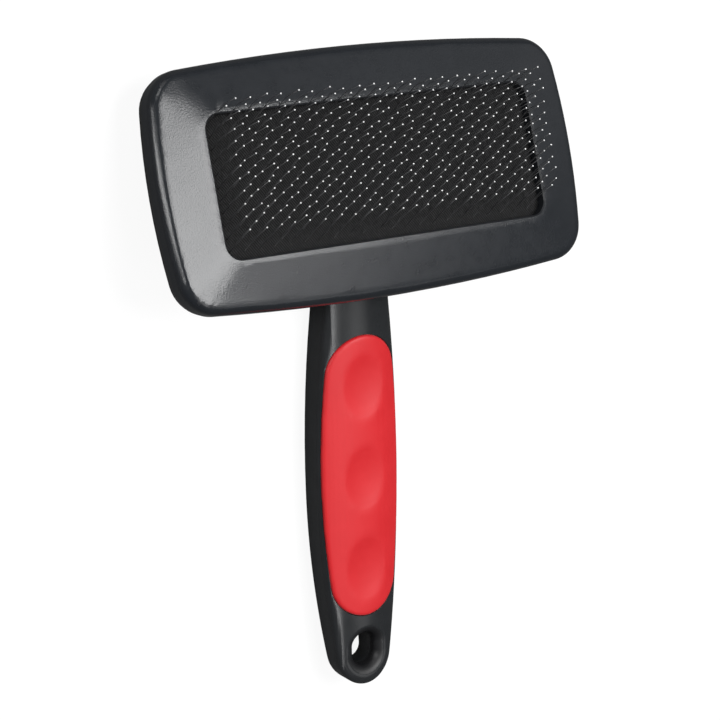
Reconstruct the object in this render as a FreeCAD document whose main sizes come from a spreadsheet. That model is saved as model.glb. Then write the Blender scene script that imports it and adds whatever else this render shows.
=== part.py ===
import FreeCAD, Part
import math
import os
import Sketcher

# Slicker brush for grooming pets, lying on its back with the pins up.
#
# Two frames are used, both in millimetres, with X across the brush:
# - the handle frame, whose Y runs along the handle towards the head, Z points
#   to the front of the handle, and whose origin is under the head's lower edge;
# - the head frame, whose origin is the middle of the window on the face of the
#   head, Z points out of the face, and Y to the head's top edge.
# The head leans from the handle by handle_angle, turned about X.

Vector = FreeCAD.Vector
Rotation = FreeCAD.Rotation
Placement = FreeCAD.Placement

SIZES = [
    # head frame: outline of the head
    ("head_x", 60.85, "half width of the head"),
    ("head_y", 31.05, "half height of the head"),
    ("head_low", 0.18, "how far the head's middle is below the window's"),
    ("long_bow_radius", 605.0, "radius of the bowed long edges"),
    ("short_bow_radius", 165.0, "radius of the bowed short edges"),
    ("corner_radius", 9.8, "rounding of the head's corners"),
    ("rim_radius", 2.8, "rounding of the front rim"),
    ("frame_depth", 6.4, "crest of the face to the parting line"),
    ("frame_wall", 2.4, "side wall of the front frame"),
    ("face_thickness", 2.7, "front wall round the window"),
    ("face_drop", 1.35, "how far the face slopes back from the crest to the rim"),
    ("crest_land", 1.0, "flat crest round the window"),
    ("window_x", 47.15, "half width of the window"),
    ("window_y", 17.15, "half height of the window"),
    ("window_radius", 4.0, "corner radius of the window"),
    ("window_edge", 0.35, "bevel of the window's front edge"),
    # pad, from the face inwards
    ("pad_x", 52.0, "half width of the pad"),
    ("pad_y", 22.0, "half height of the pad"),
    ("pad_radius", 3.0, "corner radius of the pad's layers"),
    ("nest_clearance", 0.3, "gap between the pad and the ribs that locate it"),
    ("nest_wall", 1.6, "thickness of those ribs"),
    ("cloth_thickness", 1.5, "woven foundation that holds the wires"),
    ("crown_gap", 0.5, "room for the wires' crowns behind the cloth"),
    ("foam_thickness", 3.0, "foam cushion"),
    ("foam_inset", 0.5, "how much smaller the foam is than the cloth"),
    ("board_thickness", 1.2, "backing board"),
    # wires
    ("row_count", 22, "rows of pins"),
    ("row_pitch", 1.5, "distance between rows"),
    ("wires_per_row", 11, "U-shaped wires in a row, two pins each"),
    ("pin_pitch", 4.2, "distance between the pins of a row"),
    ("knee_height", 5.3, "cloth to the knee of a pin"),
    ("knee_shift", 3.0, "how far the knee leans towards the head's top"),
    ("tip_height", 12.05, "cloth to the top of a pin, its rounded tip included"),
    ("tip_shift", 4.05, "how far the tip leans towards the head's top"),
    ("wire_radius", 0.28, "circumscribed radius of the wire's section"),
    # back shell
    ("shell_inset", 0.25, "step from the frame's side to the shell's side"),
    ("shell_depth", 12.1, "crest of the face to the back of the shell"),
    ("shell_round", 5.0, "rounding of the shell's back edge"),
    ("shell_floor", 1.8, "thickness of the shell's back"),
    ("shell_gap", 0.05, "clearance between the handle's front half and the shell"),
    ("tongue_gap", 0.1, "clearance of the shell's tongue in the frame"),
    ("tongue_wall", 1.5, "thickness of the tongue"),
    ("tongue_height", 2.2, "height of the tongue"),
    ("rib_length", 92.0, "length of the ribs that carry the backing board"),
    ("rib_wall", 1.6, "thickness of those ribs"),
    ("rib_pitch", 14.0, "distance between those ribs"),
    ("rib_count", 3, "number of those ribs"),
    # handle frame
    ("handle_angle", 16.0, "degrees between the face of the head and the handle"),
    ("head_along", 36.8, "head frame's origin along the handle"),
    ("head_above", 15.8, "head frame's origin above the handle's axis"),
    ("handle_x", 12.3, "half width of the handle at its widest"),
    ("handle_widest", 43.0, "distance from the origin to the widest place"),
    ("handle_bow_radius", 340.0, "radius of the handle's sides"),
    ("handle_length", 102.4, "origin to the handle's end"),
    ("waist_radius", 145.0, "radius of the hollow sides of the neck"),
    ("waist_start", 2.0, "where the hollow sides begin"),
    ("neck_start", 2.6, "where the neck leaves the handle's front for the head"),
    ("neck_rise", 6.0, "radius of the neck's rise to the head"),
    ("neck_edge", 1.2, "bevel of that rise at its sides"),
    ("spine_top", 50.0, "upper end of the spine behind the head"),
    ("spine_round", 9.0, "corner rounding of the spine's upper end"),
    ("seam_level", 1.4, "parting plane between the handle's halves"),
    ("front_level", 5.4, "front of the black handle"),
    ("crown_radius", 28.0, "radius of the front across the handle"),
    ("crown_reach", 16.0, "half width of the cut that makes that crown"),
    ("front_edge", 0.7, "bevel of the front edges"),
    ("cut_room", 1.0, "how far a cut reaches past what it cuts"),
    ("belly_level", 6.8, "depth of the handle's flat back"),
    ("back_round", 4.0, "rounding of the back edges"),
    ("tail_start", 50.0, "where the back begins to curve up to the handle's end"),
    ("tail_radius", 450.0, "radius of that curve"),
    ("hole_middle", 93.0, "origin to the middle of the hanging hole"),
    ("hole_radius", 3.4, "half width of the hanging hole"),
    ("hole_straight", 1.2, "half length of the hole's straight sides"),
    ("hole_lip_front", 2.6, "rounding of the hole's front lip"),
    ("hole_lip_back", 0.6, "bevel of the hole's back lip"),
    ("peg_radius", 1.5, "pegs that join the handle's halves"),
    ("peg_length", 4.0, "length of the pegs"),
    ("peg_gap", 0.05, "clearance round the pegs"),
    ("peg_first", 14.0, "origin to the first peg"),
    ("peg_pitch", 27.0, "distance between pegs"),
    ("peg_count", 3, "number of pegs"),
    # soft grip
    ("grip_x", 11.7, "half width of the grip at its widest"),
    ("grip_bow_radius", 260.0, "radius of the grip's sides"),
    ("grip_near", 7.5, "origin to the grip's upper end"),
    ("grip_far", 83.0, "origin to the grip's lower end"),
    ("grip_seat", 2.0, "level of the seat under the grip"),
    ("grip_level", 5.9, "level of the grip's front"),
    ("grip_gap", 0.12, "shadow gap between grip and handle"),
    ("grip_edge", 0.35, "bevel of the grip's edge"),
    ("dimple_first", 21.0, "origin to the middle of the first finger dimple"),
    ("dimple_pitch", 24.5, "distance between the dimples"),
    ("dimple_count", 3, "number of dimples"),
    ("dimple_radius", 34.0, "radius of the dimples' hollow"),
    ("dimple_depth", 1.2, "depth of the dimples"),
]

FINE = 0.01  # a hundredth of a millimetre tells apart the edges of the model
CORNER_STEPS = 20  # steps in which the middle of a corner's arc settles
BOARD_BACK = "face_thickness + cloth_thickness + crown_gap + foam_thickness + board_thickness"

# the neck ends inside the shell's back: its top over the rise, and where it meets the seam
SHELL_MIDDLE = "( shell_depth - shell_floor / 2 ) / cos( handle_angle )"
NECK_TOP = ("head_above - ( neck_start + neck_rise - head_along ) * tan( handle_angle )"
            " - %s" % SHELL_MIDDLE)
NECK_FOOT = ("head_along + ( head_above - seam_level - %s ) / tan( handle_angle )"
             % SHELL_MIDDLE)

doc = FreeCAD.newDocument("slicker_brush")
sizes = doc.addObject("Spreadsheet::Sheet", "Sizes")


def fill_sheet():
    for row, (alias, value, note) in enumerate(SIZES, start=1):
        sizes.set("A%d" % row, alias)
        sizes.set("B%d" % row, str(value))
        sizes.set("C%d" % row, note)
        sizes.setAlias("B%d" % row, alias)
    doc.recompute()


def number(expression):
    """The value of an expression whose names are aliases of the sheet."""
    return float(sizes.evalExpression(expression))


def bind(thing, name, expression):
    """Ties a property to the sheet. Aliases in the expression are plain words."""
    aliases = {alias for alias, value, note in SIZES}
    words = ["Sizes." + word if word in aliases else word for word in expression.split()]
    thing.setExpression(name, " ".join(words))


def new_body(label):
    body = doc.addObject("PartDesign::Body", label)
    body.Label = label
    return body


def origin_feature(body, role):
    return [feature for feature in body.Origin.OriginFeatures if feature.Role == role][0]


def new_sketch(body, name, role="XY_Plane", level=None, on_head=False):
    """A sketch on one of the body's origin planes, raised to a level.

    on_head turns the XY plane of a body in the handle frame into the head's.
    """
    sketch = body.newObject("Sketcher::SketchObject", name)
    sketch.AttachmentSupport = [(origin_feature(body, role), "")]
    sketch.MapMode = "FlatFace"
    level = level or "0"
    if on_head:
        tilt = Rotation(Vector(-1, 0, 0), number("handle_angle"))
        sketch.AttachmentOffset = Placement(Vector(0, 0, 0), tilt)
        bind(sketch, "AttachmentOffset.Rotation.Angle", "handle_angle")
        bind(sketch, "AttachmentOffset.Base.y",
             "head_along + ( %s ) * sin( handle_angle )" % level)
        bind(sketch, "AttachmentOffset.Base.z",
             "head_above + ( %s ) * cos( handle_angle )" % level)
    else:
        bind(sketch, "AttachmentOffset.Base.z", level)
    return sketch


def dimension(sketch, kind, where, expression):
    index = sketch.addConstraint(Sketcher.Constraint(kind, *where, number(expression)))
    bind(sketch, "Constraints[%d]" % index, expression)


def put_point(sketch, geometry, vertex, x=None, y=None):
    """Holds a point at a place given by two expressions, either sign."""
    for kind, expression in (("DistanceX", x), ("DistanceY", y)):
        if expression is None:
            continue
        if number(expression) >= 0:
            dimension(sketch, kind, (-1, 1, geometry, vertex), expression)
        else:
            dimension(sketch, kind, (geometry, vertex, -1, 1), "- ( %s )" % expression)


def arc(centre, radius, start, end):
    circle = Part.Circle(Vector(centre[0], centre[1], 0), Vector(0, 0, 1), radius)
    return Part.ArcOfCircle(circle, start, end)


def line(start, end):
    return Part.LineSegment(Vector(start[0], start[1], 0), Vector(end[0], end[1], 0))


def draw_bowed_rectangle(sketch, inset="0"):
    """The head's outline, moved inwards by an inset: bowed edges, round corners."""
    first = sketch.GeometryCount
    side_back = number("short_bow_radius - head_x")
    top_back = number("long_bow_radius - head_y")
    corner = number("corner_radius")
    side_reach = number("short_bow_radius") - corner
    top_reach = number("long_bow_radius") - corner
    low = number("head_low")
    x, y = number("head_x") - corner, number("head_y") - corner
    for step in range(CORNER_STEPS):
        x = math.sqrt(side_reach ** 2 - y ** 2) - side_back
        y = math.sqrt(top_reach ** 2 - x ** 2) - top_back
    rise = math.atan2(y, x + side_back)
    climb = math.atan2(y + top_back, x)
    radii = ["short_bow_radius - %s" % inset, "corner_radius - %s" % inset,
             "long_bow_radius - %s" % inset, "corner_radius - %s" % inset] * 2
    centres = [(-side_back, 0), (x, y), (0, -top_back), (-x, y),
               (side_back, 0), (-x, -y), (0, top_back), (x, -y)]
    centres = [(across, along - low) for across, along in centres]
    turns = [-rise, rise, climb, math.pi - climb, math.pi - rise,
             math.pi + rise, math.pi + climb, 2 * math.pi - climb, 2 * math.pi - rise]
    for side, centre in enumerate(centres):
        sketch.addGeometry(arc(centre, number(radii[side]), turns[side], turns[side + 1]))
    close_loop(sketch, first, 8, "Tangent")
    for side, radius in enumerate(radii):
        dimension(sketch, "Radius", (first + side,), radius)
    put_point(sketch, first, 3, "head_x - short_bow_radius", "- head_low")
    put_point(sketch, first + 2, 3, "0", "head_y - long_bow_radius - head_low")
    put_point(sketch, first + 4, 3, "short_bow_radius - head_x", "- head_low")
    put_point(sketch, first + 6, 3, "0", "long_bow_radius - head_y - head_low")


def close_loop(sketch, first, sides=4, kind="Coincident"):
    """Joins lines or arcs, end to start, into a closed loop."""
    for side in range(sides):
        after = first + (side + 1) % sides
        sketch.addConstraint(Sketcher.Constraint(kind, first + side, 2, after, 1))


def draw_rectangle(sketch, x, y, middle="0"):
    """A rectangle of half sizes x and y whose middle is moved along Y."""
    right, top, shift = number(x), number(y), number(middle)
    low, high = shift - top, shift + top
    first = sketch.GeometryCount
    sketch.addGeometry([
        line((right, high), (-right, high)),
        line((-right, high), (-right, low)),
        line((-right, low), (right, low)),
        line((right, low), (right, high)),
    ])
    close_loop(sketch, first)
    for index, kind in enumerate(("Horizontal", "Vertical", "Horizontal", "Vertical")):
        sketch.addConstraint(Sketcher.Constraint(kind, first + index))
    put_point(sketch, first, 1, x, "%s + ( %s )" % (middle, y))
    put_point(sketch, first + 2, 1, "- ( %s )" % x, "%s - ( %s )" % (middle, y))


def draw_rounded_rectangle(sketch, x, y, radius):
    """A rectangle of half sizes x and y with round corners."""
    first = sketch.GeometryCount
    right, top, corner = number(x), number(y), number(radius)
    near, high = right - corner, top - corner
    quarter = math.pi / 2
    sketch.addGeometry([
        line((right, -high), (right, high)),
        arc((near, high), corner, 0, quarter),
        line((near, top), (-near, top)),
        arc((-near, high), corner, quarter, 2 * quarter),
        line((-right, high), (-right, -high)),
        arc((-near, -high), corner, 2 * quarter, 3 * quarter),
        line((-near, -top), (near, -top)),
        arc((near, -high), corner, 3 * quarter, 4 * quarter),
    ])
    close_loop(sketch, first, 8, "Tangent")
    for side, kind in ((0, "Vertical"), (2, "Horizontal"), (4, "Vertical"), (6, "Horizontal")):
        sketch.addConstraint(Sketcher.Constraint(kind, first + side))
        dimension(sketch, "Radius", (first + side + 1,), radius)
    near_x, near_y = "( %s ) - ( %s )" % (x, radius), "( %s ) - ( %s )" % (y, radius)
    put_point(sketch, first + 1, 3, near_x, near_y)
    put_point(sketch, first + 5, 3, "- ( %s )" % near_x, "- ( %s )" % near_y)


def draw_circle(sketch, y, radius):
    sketch.addGeometry(Part.Circle(Vector(0, number(y), 0), Vector(0, 0, 1), number(radius)))
    sketch.addConstraint(Sketcher.Constraint("PointOnObject", 0, 3, -2))
    put_point(sketch, 0, 3, None, y)
    dimension(sketch, "Radius", (0,), radius)


def draw_slot(sketch, middle, radius, straight):
    """A slot along Y with round ends."""
    centre, half = number(middle), number(straight)
    reach = number(radius)
    top, bottom = centre + half, centre - half
    sketch.addGeometry([
        arc((0, top), reach, 0, math.pi),
        line((-reach, top), (-reach, bottom)),
        arc((0, bottom), reach, math.pi, 2 * math.pi),
        line((reach, bottom), (reach, top)),
    ])
    close_loop(sketch, 0, 4, "Tangent")
    for index, sign in ((0, "+"), (2, "-")):
        sketch.addConstraint(Sketcher.Constraint("PointOnObject", index, 3, -2))
        put_point(sketch, index, 3, None, "%s %s %s" % (middle, sign, straight))
        dimension(sketch, "Radius", (index,), radius)


def end_cap(bow, half_width, reach):
    """Radius of the arc on the axis that ends two bowed sides at a reach."""
    offset = bow - half_width
    return (bow ** 2 - offset ** 2 - reach ** 2) / (2 * (bow - reach))


def draw_grip_outline(sketch, clearance="0"):
    """Two bowed sides closed by a round cap at each end."""
    first = sketch.GeometryCount
    half_width = "grip_x + %s" % clearance
    bow_radius = "grip_bow_radius + %s" % clearance
    near = "- ( grip_near - %s )" % clearance
    far = "- ( grip_far + %s )" % clearance
    bow, half = number(bow_radius), number(half_width)
    middle = -number("handle_widest")
    offset = bow - half
    top_cap = end_cap(bow, half, number(near) - middle)
    low_cap = end_cap(bow, half, middle - number(far))
    top_centre = number(near) - top_cap
    low_centre = number(far) + low_cap
    rise = math.atan2(top_centre - middle, offset)
    fall = math.atan2(middle - low_centre, offset)
    sketch.addGeometry([
        arc((-offset, middle), bow, -fall, rise),
        arc((0, top_centre), top_cap, rise, math.pi - rise),
        arc((offset, middle), bow, math.pi - rise, math.pi + fall),
        arc((0, low_centre), low_cap, math.pi + fall, 2 * math.pi - fall),
    ])
    close_loop(sketch, first, 4, "Tangent")
    for side, sign in ((0, "-"), (2, "")):
        dimension(sketch, "Radius", (first + side,), bow_radius)
        put_point(sketch, first + side, 3,
                  "%s ( %s - ( %s ) )" % (sign, bow_radius, half_width), "- handle_widest")
    hold_cap(sketch, first + 1, near)
    hold_cap(sketch, first + 3, far)


def hold_cap(sketch, cap, y):
    """Makes an arc on the axis pass through the axis at a place."""
    point = sketch.addGeometry(Part.Point(Vector(0, number(y), 0)), True)
    sketch.addConstraint(Sketcher.Constraint("PointOnObject", point, 1, -2))
    sketch.addConstraint(Sketcher.Constraint("PointOnObject", point, 1, cap))
    put_point(sketch, point, 1, None, y)


def draw_handle_outline(sketch):
    """Bowed sides, a round end, a hollow neck and a straight top end."""
    bow, half = number("handle_bow_radius"), number("handle_x")
    offset, middle = bow - half, -number("handle_widest")
    cap = end_cap(bow, half, number("handle_length") + middle)
    cap_centre = cap - number("handle_length")
    fall = math.atan2(middle - cap_centre, offset)
    start = -number("waist_start")
    rise = math.asin((start - middle) / bow)
    waist = number("waist_radius")
    start_x = bow * math.cos(rise) - offset
    waist_x = start_x + waist * math.cos(rise)
    waist_y = start + waist * math.sin(rise)
    top = number("spine_top")
    climb = math.asin((top - waist_y) / waist)
    top_x = waist_x - waist * math.cos(climb)
    sketch.addGeometry([
        arc((-offset, middle), bow, -fall, rise),
        arc((waist_x, waist_y), waist, math.pi - climb, math.pi + rise),
        line((top_x, top), (-top_x, top)),
        arc((-waist_x, waist_y), waist, -rise, climb),
        arc((offset, middle), bow, math.pi - rise, math.pi + fall),
        arc((0, cap_centre), cap, math.pi + fall, 2 * math.pi - fall),
    ])
    for ends in ((5, 2, 0, 1), (5, 1, 4, 2), (0, 2, 1, 2), (4, 1, 3, 1)):
        sketch.addConstraint(Sketcher.Constraint("Tangent", *ends))
    sketch.addConstraint(Sketcher.Constraint("Coincident", 2, 1, 1, 1))
    sketch.addConstraint(Sketcher.Constraint("Coincident", 2, 2, 3, 2))
    for side, sign in ((0, "-"), (4, "")):
        dimension(sketch, "Radius", (side,), "handle_bow_radius")
        put_point(sketch, side, 3,
                  "%s ( handle_bow_radius - handle_x )" % sign, "- handle_widest")
    for side in (1, 3):
        dimension(sketch, "Radius", (side,), "waist_radius")
    put_point(sketch, 0, 2, None, "- waist_start")
    put_point(sketch, 4, 1, None, "- waist_start")
    put_point(sketch, 2, 1, None, "spine_top")
    put_point(sketch, 2, 2, None, "spine_top")
    hold_cap(sketch, 5, "- handle_length")


def pad(body, sketch, length, backwards=False):
    feature = body.newObject("PartDesign::Pad", "Pad")
    feature.Profile = (sketch, [""])
    bind(feature, "Length", length)
    feature.Reversed = backwards
    doc.recompute()
    return feature


def pocket(body, sketch, length=None, backwards=False):
    """Cuts a sketch out of the body; with no length it goes through all of it."""
    before = body.Shape.Volume
    feature = body.newObject("PartDesign::Pocket", "Pocket")
    feature.Profile = (sketch, [""])
    feature.Reversed = backwards
    if length:
        bind(feature, "Length", length)
    else:
        feature.Type = "ThroughAll"
        feature.SideType = "Symmetric"
    doc.recompute()
    if not body.Shape.Volume < before:
        raise ValueError("%s cuts nothing from %s" % (sketch.Name, body.Label))
    return feature


def dress_edges(body, kind, size_name, size, chosen):
    """Rounds or bevels the edges of the body's tip that a test picks."""
    tip = body.Tip
    edges = tip.Shape.Edges
    names = ["Edge%d" % index for index, edge in enumerate(edges, start=1) if chosen(edge)]
    feature = body.newObject("PartDesign::" + kind, kind)
    feature.Base = (tip, names)
    bind(feature, size_name, size)
    doc.recompute()


def fillet(body, radius, chosen):
    dress_edges(body, "Fillet", "Radius", radius, chosen)


def bevel(body, size, chosen):
    dress_edges(body, "Chamfer", "Size", size, chosen)


def pattern(body, feature, pitch, count, direction):
    """Repeats a feature along an axis; down the handle on the body's own Y axis."""
    repeat = body.newObject("PartDesign::LinearPattern", "LinearPattern")
    repeat.Originals = [feature]
    repeat.Direction = (direction[0], [direction[1]])
    repeat.Reversed = direction[1] == ""
    bind(repeat, "Length", "%s * ( %s - 1 )" % (pitch, count))
    bind(repeat, "Occurrences", count)
    body.Tip = repeat
    doc.recompute()
    return repeat


def is_upright(edge):
    """True for a straight edge along the sketch normal of an untilted body."""
    box = edge.BoundBox
    return box.XLength < FINE and box.YLength < FINE


def max_x(edge):
    return max(abs(edge.BoundBox.XMin), abs(edge.BoundBox.XMax))


def lies_at(level):
    """A test for edges that lie flat at one height."""
    def test(edge):
        box = edge.BoundBox
        return box.ZLength < FINE and abs(box.ZMin - level) < FINE
    return test


def on_head_points(edge):
    """Five points along an edge, in the head frame."""
    to_head = head_placement().inverse()
    return [to_head.multVec(point) for point in edge.discretize(5)]


def lies_on_head(level):
    """A test for edges parallel to the face of the head at one level."""
    def test(edge):
        return all(abs(point.z - number(level)) < FINE for point in on_head_points(edge))
    return test


def head_placement():
    tilt = Rotation(Vector(1, 0, 0), -number("handle_angle"))
    return Placement(Vector(0, number("head_along"), number("head_above")), tilt)


def make_front_frame():
    """Bezel: faces that slope from the window to a rounded rim, with pad ribs behind."""
    body = new_body("front_frame")
    outline = new_sketch(body, "FrameOutline", level="- face_drop")
    draw_bowed_rectangle(outline)
    pad(body, outline, "frame_depth - face_drop", backwards=True)
    fillet(body, "rim_radius", lies_at(-number("face_drop")))
    slope_face(body)
    cavity = new_sketch(body, "FrameCavity", level="- frame_depth")
    draw_bowed_rectangle(cavity, inset="frame_wall")
    pocket(body, cavity, "frame_depth - face_thickness", backwards=True)
    ribs = new_sketch(body, "PadNest", level="- face_thickness")
    nest = "nest_clearance + nest_wall"
    draw_rounded_rectangle(ribs, "pad_x + " + nest, "pad_y + " + nest, "pad_radius")
    draw_rounded_rectangle(ribs, "pad_x + nest_clearance", "pad_y + nest_clearance", "pad_radius")
    pad(body, ribs, "frame_depth - face_thickness - tongue_height", backwards=True)
    window = new_sketch(body, "Window")
    draw_rounded_rectangle(window, "window_x", "window_y", "window_radius")
    pocket(body, window)
    bevel(body, "window_edge", is_window_edge)
    return body


def is_window_edge(edge):
    box = edge.BoundBox
    return (lies_at(0)(edge) and max_x(edge) < number("window_x") + FINE
            and abs(box.YMin) < number("window_y") + FINE
            and abs(box.YMax) < number("window_y") + FINE)


def slope_face(body):
    """Raises the face from the rounded rim to a crest round the window."""
    foot = new_sketch(body, "FaceFoot", level="- face_drop")
    draw_bowed_rectangle(foot, inset="rim_radius")
    crest = new_sketch(body, "FaceCrest")
    draw_rounded_rectangle(crest, "window_x + crest_land", "window_y + crest_land",
                           "window_radius + crest_land")
    slope = body.newObject("PartDesign::AdditiveLoft", "SlopingFace")
    slope.Profile = (foot, [""])
    slope.Sections = [(crest, [""])]
    slope.Ruled = True
    doc.recompute()


def make_layer(label, top, thickness, inset="0"):
    """One flat layer of the pad with rounded corners."""
    body = new_body(label)
    outline = new_sketch(body, label + "_outline", level=top)
    draw_rounded_rectangle(outline, "pad_x - %s" % inset, "pad_y - %s" % inset, "pad_radius")
    pad(body, outline, thickness, backwards=True)
    return body


def make_back_moulding():
    """Back shell of the head, its spine and the back half of the handle."""
    body = new_body("back_shell")
    outline = new_sketch(body, "HandleOutline", level="seam_level")
    draw_handle_outline(outline)
    pad(body, outline, "seam_level + belly_level", backwards=True)
    fillet(body, "spine_round",
           lambda edge: is_upright(edge)
           and abs(edge.BoundBox.YMin - number("spine_top")) < FINE)
    taper_tail(body)
    fillet(body, "back_round", is_back_edge)
    raise_neck(body)
    shell = new_sketch(body, "ShellOutline", level="- frame_depth", on_head=True)
    draw_bowed_rectangle(shell, inset="shell_inset")
    pad(body, shell, "shell_depth - frame_depth", backwards=True)
    back_rim = lies_on_head("- shell_depth")
    fillet(body, "shell_round",
           lambda edge: back_rim(edge) and max_x(edge) > number("handle_x"))
    tongue = new_sketch(body, "Tongue", level="- frame_depth", on_head=True)
    draw_bowed_rectangle(tongue, inset="( frame_wall + tongue_gap )")
    pad(body, tongue, "tongue_height")
    hollow_shell(body)
    socket = new_sketch(body, "PegSocket", level="seam_level")
    draw_circle(socket, "- peg_first", "peg_radius + peg_gap")
    first = pocket(body, socket, "peg_length + peg_gap")
    pattern(body, first, "peg_pitch", "peg_count", (origin_feature(body, "Y_Axis"), ""))
    cut_hanging_hole(body, bevel, "hole_lip_back")
    return body


def taper_tail(body):
    """Curves the flat back up towards the handle's end."""
    profile = new_sketch(body, "TailCut", role="YZ_Plane")
    start, end = number("- tail_start"), number("- handle_length - cut_room")
    back, deep = number("- belly_level"), number("- belly_level - cut_room")
    radius = number("tail_radius")
    turn = math.asin((start - end) / radius)
    down = -math.pi / 2
    rise = back + radius * (1 - math.cos(turn))
    profile.addGeometry([
        arc((start, back + radius), radius, down - turn, down),
        line((start, back), (start, deep)),
        line((start, deep), (end, deep)),
        line((end, deep), (end, rise)),
    ])
    close_loop(profile, 0)
    for side, kind in ((1, "Vertical"), (2, "Horizontal"), (3, "Vertical")):
        profile.addConstraint(Sketcher.Constraint(kind, side))
    dimension(profile, "Radius", (0,), "tail_radius")
    put_point(profile, 0, 3, "- tail_start", "tail_radius - belly_level")
    put_point(profile, 1, 1, "- tail_start", None)
    put_point(profile, 3, 1, "- handle_length - cut_room", "- belly_level - cut_room")
    pocket(body, profile)


def is_back_edge(edge):
    """True for the outline of the handle's back, without the line where it curves up."""
    box = edge.BoundBox
    return box.ZMax < 0 and (box.YLength > FINE or box.YMin > 0)


def raise_neck(body):
    """Fills the wedge between the neck and the head, with a hollow rise in front."""
    block = new_sketch(body, "NeckBlock", level="seam_level")
    draw_handle_outline(block)
    pad(body, block, "head_above - seam_level")
    cut = new_sketch(body, "NeckCut", role="YZ_Plane")
    draw_neck_cut(cut)
    pocket(body, cut)
    bevel(body, "neck_edge", is_neck_side)


def is_neck_side(edge):
    """True for the long edges of the neck's hollow rise."""
    box = edge.BoundBox
    start, wall = number("neck_start"), number("neck_start + neck_rise")
    return (box.XLength < box.ZLength and box.ZMin > number("front_level") - FINE
            and box.YMin > start - FINE and box.YMax < wall + FINE)


def draw_neck_cut(sketch):
    """All above the seam that isn't neck, with Y to the right and Z upwards."""
    end, far = number("- handle_length - cut_room"), number("spine_top + cut_room")
    seam, high = number("seam_level"), number("head_above + cut_room")
    start, wall = number("neck_start"), number("neck_start + neck_rise")
    front, climb = number("front_level"), number("front_level + neck_rise")
    top, foot = number(NECK_TOP), number(NECK_FOOT)
    sketch.addGeometry([
        line((end, seam), (start, seam)),
        line((start, seam), (start, front)),
        arc((start, climb), wall - start, -math.pi / 2, 0),
        line((wall, climb), (wall, top)),
        line((wall, top), (foot, seam)),
        line((foot, seam), (far, seam)),
        line((far, seam), (far, high)),
        line((far, high), (end, high)),
        line((end, high), (end, seam)),
    ])
    close_loop(sketch, 0, 9)
    for kind, sides in (("Horizontal", (0, 5, 7)), ("Vertical", (1, 3, 6, 8))):
        for side in sides:
            sketch.addConstraint(Sketcher.Constraint(kind, side))
    put_point(sketch, 0, 1, "- ( handle_length + cut_room )", "seam_level")
    put_point(sketch, 1, 1, "neck_start", None)
    put_point(sketch, 2, 3, "neck_start", "front_level + neck_rise")
    dimension(sketch, "Radius", (2,), "neck_rise")
    put_point(sketch, 3, 1, None, "front_level + neck_rise")
    put_point(sketch, 4, 1, None, NECK_TOP)
    put_point(sketch, 5, 1, NECK_FOOT, "seam_level")
    put_point(sketch, 7, 1, "spine_top + cut_room", "head_above + cut_room")


def hollow_shell(body):
    """Hollows the head and stands ribs in it that carry the backing board."""
    cavity = new_sketch(body, "Cavity", level="tongue_height - frame_depth", on_head=True)
    draw_bowed_rectangle(cavity, inset="( frame_wall + tongue_gap + tongue_wall )")
    pocket(body, cavity, "shell_depth - shell_floor - frame_depth + tongue_height")
    rib = new_sketch(body, "BoardRib", level="shell_floor - shell_depth", on_head=True)
    draw_rectangle(rib, "rib_length / 2", "rib_wall / 2", "- rib_pitch")
    first = pad(body, rib, "shell_depth - shell_floor - ( %s )" % BOARD_BACK)
    pattern(body, first, "rib_pitch", "rib_count", (rib, "V_Axis"))


def cut_hanging_hole(body, dress, lip):
    """Cuts the hanging hole and rounds or bevels its outer lip."""
    slot = new_sketch(body, "HangingHole")
    draw_slot(slot, "- hole_middle", "hole_radius", "hole_straight")
    pocket(body, slot)
    seam = number("seam_level")
    dress(body, lip, lambda edge: is_hole_rim(edge) and not lies_at(seam)(edge))


def is_hole_rim(edge):
    box = edge.BoundBox
    reach = number("hole_radius + hole_straight") + FINE
    return (max_x(edge) < number("hole_radius") + FINE and not is_upright(edge)
            and abs(box.Center.y + number("hole_middle")) < reach)


def crown_front(body, level):
    """Cuts the front to an arc across the handle whose top is at a level."""
    profile = new_sketch(body, "Crown", role="XZ_Plane")
    radius, reach = number("crown_radius"), number("crown_reach")
    top, centre = number(level), number(level) - number("crown_radius")
    turn = math.asin(reach / radius)
    low = centre + radius * math.cos(turn)
    high = top + number("cut_room")
    profile.addGeometry([
        arc((0, centre), radius, math.pi / 2 - turn, math.pi / 2 + turn),
        line((-reach, low), (-reach, high)),
        line((-reach, high), (reach, high)),
        line((reach, high), (reach, low)),
    ])
    close_loop(profile, 0)
    for side, kind in ((1, "Vertical"), (2, "Horizontal"), (3, "Vertical")):
        profile.addConstraint(Sketcher.Constraint(kind, side))
    dimension(profile, "Radius", (0,), "crown_radius")
    put_point(profile, 0, 3, "0", "%s - crown_radius" % level)
    put_point(profile, 2, 1, "- crown_reach", "%s + cut_room" % level)
    put_point(profile, 2, 2, "crown_reach", None)
    pocket(body, profile)


def is_front_edge(edge):
    """True for the edges along the sides and the end of the handle's front."""
    box = edge.BoundBox
    return (box.ZMin > number("seam_level") + FINE and box.YLength > FINE
            and not is_upright(edge))


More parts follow.
